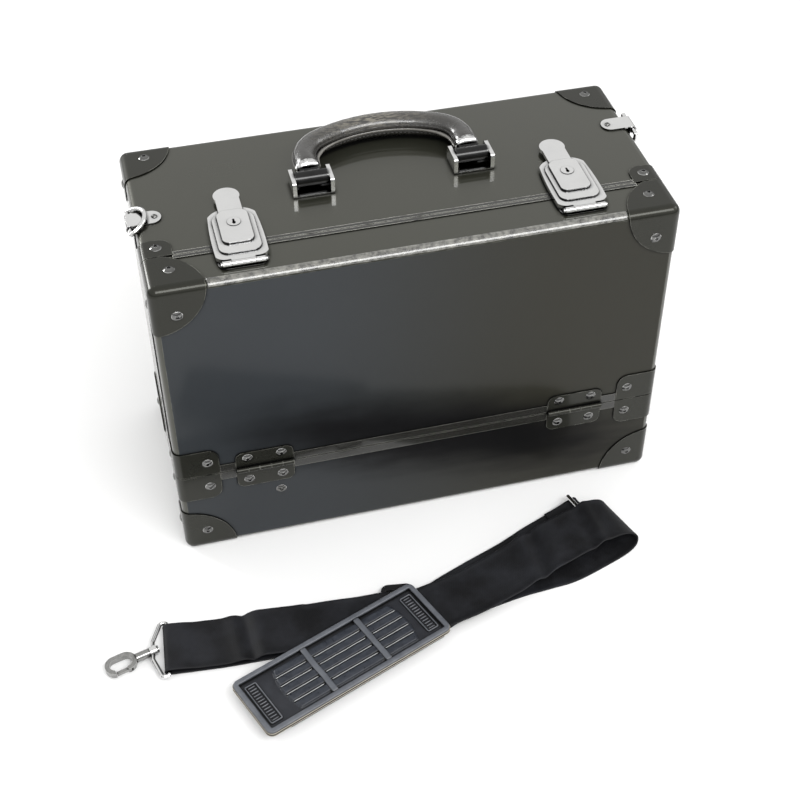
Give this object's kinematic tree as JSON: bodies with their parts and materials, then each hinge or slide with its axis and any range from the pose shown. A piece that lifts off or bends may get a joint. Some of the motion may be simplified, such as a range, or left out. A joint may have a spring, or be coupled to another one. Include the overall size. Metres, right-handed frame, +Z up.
{
  "type": "makeup case",
  "caption": "Black fall-front makeup case with metal corner guards, flip-up key latches, folding leather handle, pull-out trays and a loose shoulder strap with hooks.",
  "frame": {"origin": "middle of the underside that the closed case stands on", "axes": "+X to the case's right as seen from its front, +Y to its back, +Z up"},
  "size_m": [0.4832, 0.3857, 0.2915],
  "materials": {
    "panel_front": "board with a smooth black lacquered cover",
    "panel_cover": "board with a glossy black cover",
    "lining": "black velour",
    "tongue": "brushed",
    "black_band": "black, glossy",
    "black_metal": "black, glossy",
    "rivet": "dark nickel",
    "chrome": "polished",
    "leather": "grained dark leather",
    "webbing": "black woven webbing",
    "pad_rubber": "grey moulded rubber",
    "buckle": "black moulded",
    "tray": "black moulded"
  },
  "bodies": {
    "case_body": {"body_top_panel": "panel_cover", "body_bottom_panel": "panel_cover", "body_back_panel": "panel_cover", "body_front_panel": "panel_front", "body_left_side": "panel_cover", "body_right_side": "panel_cover", "body_lining": "lining", "body_valance": "tongue", "body_seam_bands": "black_band", "body_seam_plates": "black_metal", "rear_corner_guards": "black_metal", "bottom_corner_guards": "black_metal", "body_rivets": "rivet", "hinge_body_leaf_left": "black_metal", "hinge_body_leaf_right": "black_metal", "hinge_pins": "chrome", "staple_left": "chrome", "staple_right": "chrome", "handle_bracket_left": "chrome", "handle_bracket_right": "chrome", "handle_pins": "chrome", "ring_tab_left": "chrome", "ring_tab_right": "chrome", "tray_runners": "lining"},
    "door": {"door_front_panel": "panel_front", "door_top_panel": "panel_cover", "door_left_side": "panel_cover", "door_right_side": "panel_cover", "door_lining": "lining", "door_seam_bands": "black_band", "door_seam_plates": "black_metal", "door_corner_guards": "black_metal", "door_rivets": "rivet", "hinge_door_leaf_left": "black_metal", "hinge_door_leaf_right": "black_metal", "latch_base_left": "chrome", "latch_base_right": "chrome"},
    "hasp_l": {"hasp_left": "chrome"},
    "hasp_r": {"hasp_right": "chrome"},
    "lock_l": {"lock_plug_left": "chrome"},
    "lock_r": {"lock_plug_right": "chrome"},
    "handle": {"handle_grip": "leather", "handle_eyes": "black_metal"},
    "ring_l": {"ring_left": "chrome"},
    "ring_r": {"ring_right": "chrome"},
    "tray_1": {"tray_top": "tray"},
    "tray_2": {"tray_middle": "tray"},
    "tray_3": {"tray_bottom": "tray"},
    "strap": {"strap_long": "webbing", "strap_hook_end": "webbing", "shoulder_pad": "pad_rubber", "pad_back_plate": "pad_rubber", "slider_buckle": "buckle"},
    "loop_l": {"strap_loop_left": "chrome"},
    "hook_l": {"strap_hook_left": "chrome"},
    "gate_l": {"hook_gate_left": "chrome"},
    "loop_r": {"strap_loop_right": "chrome"},
    "hook_r": {"strap_hook_right": "chrome"},
    "gate_r": {"hook_gate_right": "chrome"}
  },
  "joints": [
    {"name": "door_hinge", "type": "hinge", "parent": "case_body", "child": "door", "pos_m": [0, -0.0926, 0.083], "axis": [1, 0, 0], "range_deg": [0, 105]},
    {"name": "hasp_left_hinge", "type": "hinge", "parent": "door", "child": "hasp_l", "pos_m": [-0.128, -0.0754, 0.275], "axis": [1, 0, 0], "range_deg": [0, 110]},
    {"name": "hasp_right_hinge", "type": "hinge", "parent": "door", "child": "hasp_r", "pos_m": [0.128, -0.0754, 0.275], "axis": [1, 0, 0], "range_deg": [0, 110]},
    {"name": "lock_left_turn", "type": "hinge", "parent": "hasp_l", "child": "lock_l", "pos_m": [-0.128, -0.033, 0.278], "axis": [0, 0, 1], "range_deg": [-90, 0]},
    {"name": "lock_right_turn", "type": "hinge", "parent": "hasp_r", "child": "lock_r", "pos_m": [0.128, -0.033, 0.278], "axis": [0, 0, 1], "range_deg": [0, 90]},
    {"name": "handle_hinge", "type": "hinge", "parent": "case_body", "child": "handle", "pos_m": [0, 0.00425, 0.2815], "axis": [1, 0, 0], "range_deg": [0, 165]},
    {"name": "ring_left_hinge", "type": "hinge", "parent": "case_body", "child": "ring_l", "pos_m": [-0.2023, -0.003, 0.27015], "axis": [0, 1, 0], "range_deg": [-241, 0]},
    {"name": "ring_right_hinge", "type": "hinge", "parent": "case_body", "child": "ring_r", "pos_m": [0.2023, 0.028, 0.27015], "axis": [0, 1, 0], "range_deg": [-241, 0]},
    {"name": "tray_top_slide", "type": "slide", "parent": "case_body", "child": "tray_1", "axis": [0, -1, 0], "range_m": [0, 0.083]},
    {"name": "tray_middle_slide", "type": "slide", "parent": "case_body", "child": "tray_2", "axis": [0, -1, 0], "range_m": [0, 0.083]},
    {"name": "tray_bottom_slide", "type": "slide", "parent": "case_body", "child": "tray_3", "axis": [0, -1, 0], "range_m": [0, 0.083]},
    {"name": "strap_lift", "type": "slide", "parent": "case_body", "child": "strap", "axis": [0, 0, 1], "range_m": [0, 0.3]},
    {"name": "loop_left_hinge", "type": "hinge", "parent": "strap", "child": "loop_l", "pos_m": [-0.229, -0.1905, 0.0044], "axis": [0.0872, 0.9962, 0], "range_deg": [0, 90]},
    {"name": "hook_left_swivel", "type": "hinge", "parent": "loop_l", "child": "hook_l", "pos_m": [-0.24046, -0.1895, 0.0044], "axis": [-0.9659, -0.2588, 0], "continuous": true},
    {"name": "gate_left_spring", "type": "hinge", "parent": "hook_l", "child": "gate_l", "pos_m": [-0.25938, -0.20156, 0.0044], "axis": [0, 0, 1], "range_deg": [-25, 0], "stiffness_Nm_per_rad": 0.02},
    {"name": "loop_right_hinge", "type": "hinge", "parent": "strap", "child": "loop_r", "pos_m": [0.12997, -0.14318, 0.0052], "axis": [-0.3173, 0.9483, 0], "range_deg": [0, 3]},
    {"name": "hook_right_swivel", "type": "hinge", "parent": "loop_r", "child": "hook_r", "pos_m": [0.12372, -0.14527, 0.01462], "axis": [-0.7707, -0.6131, -0.1736], "range_deg": [-8, 8]},
    {"name": "gate_right_spring", "type": "hinge", "parent": "hook_r", "child": "gate_r", "pos_m": [0.11143, -0.16368, 0.0109], "axis": [-0.1359, -0.1081, 0.9848], "range_deg": [-25, 0], "stiffness_Nm_per_rad": 0.02}
  ],
  "couplings": [
    {"joint": "tray_top_slide", "follows": "door_hinge", "m_per_rad": 0.045},
    {"joint": "tray_middle_slide", "follows": "door_hinge", "m_per_rad": 0.045},
    {"joint": "tray_bottom_slide", "follows": "door_hinge", "m_per_rad": 0.045}
  ]
}
